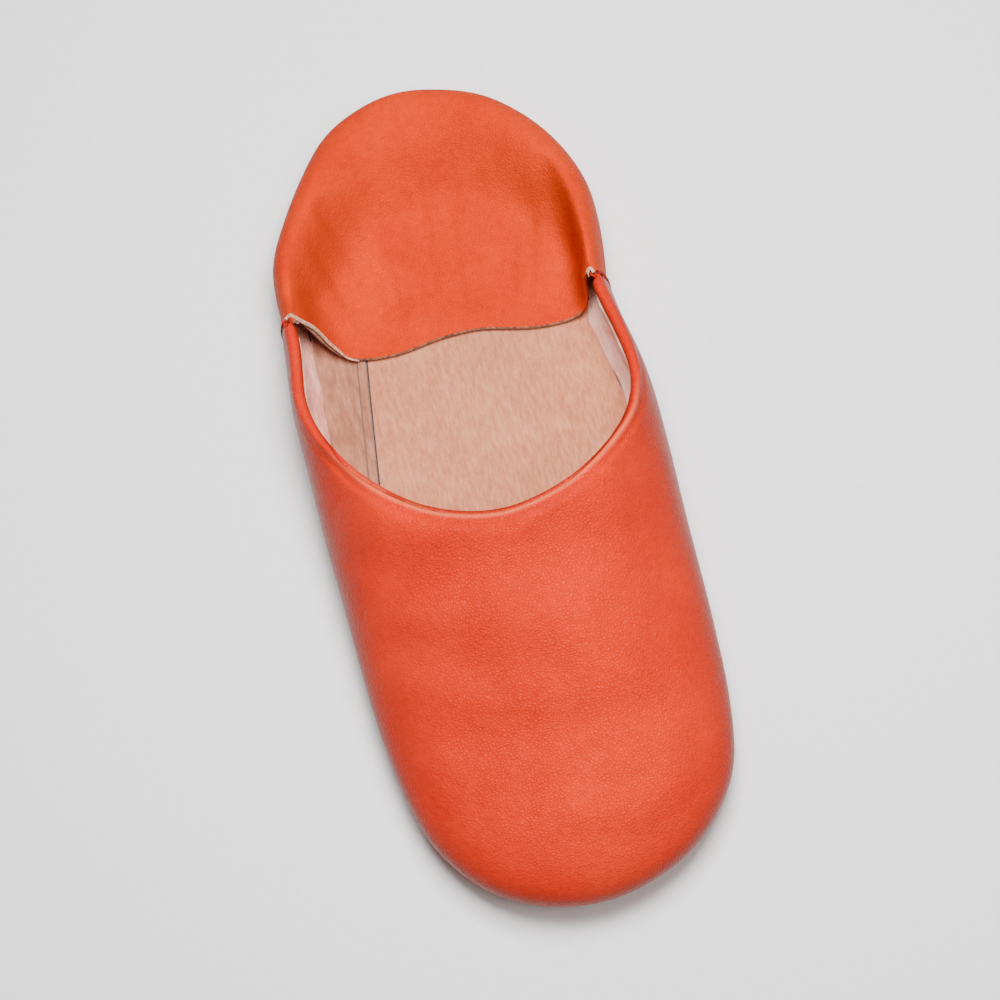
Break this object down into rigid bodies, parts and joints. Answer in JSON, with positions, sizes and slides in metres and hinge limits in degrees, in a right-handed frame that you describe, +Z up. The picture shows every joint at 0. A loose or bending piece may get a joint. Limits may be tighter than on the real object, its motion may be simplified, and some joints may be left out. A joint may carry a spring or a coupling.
{
  "type": "babouche slipper",
  "caption": "Soft leather babouche slipper for the right foot, with a round toe, a deep open throat and a heel piece trodden flat.",
  "frame": {"origin": "on the floor under the middle of the slipper's box", "axes": "-Y towards the toe, +Y towards the heel, +X towards the inner side of the foot, +Z up"},
  "size_m": [0.1035, 0.2498, 0.048],
  "materials": {
    "upper_leather": "satin",
    "insole_suede": "matte",
    "lining_suede": "matte",
    "outsole_leather": "matte",
    "thread": "waxed"
  },
  "bodies": {
    "root": {"outsole": "outsole_leather", "insole": "insole_suede", "insole_side_piece": "insole_suede", "upper": "upper_leather"}
  },
  "joints": []
}
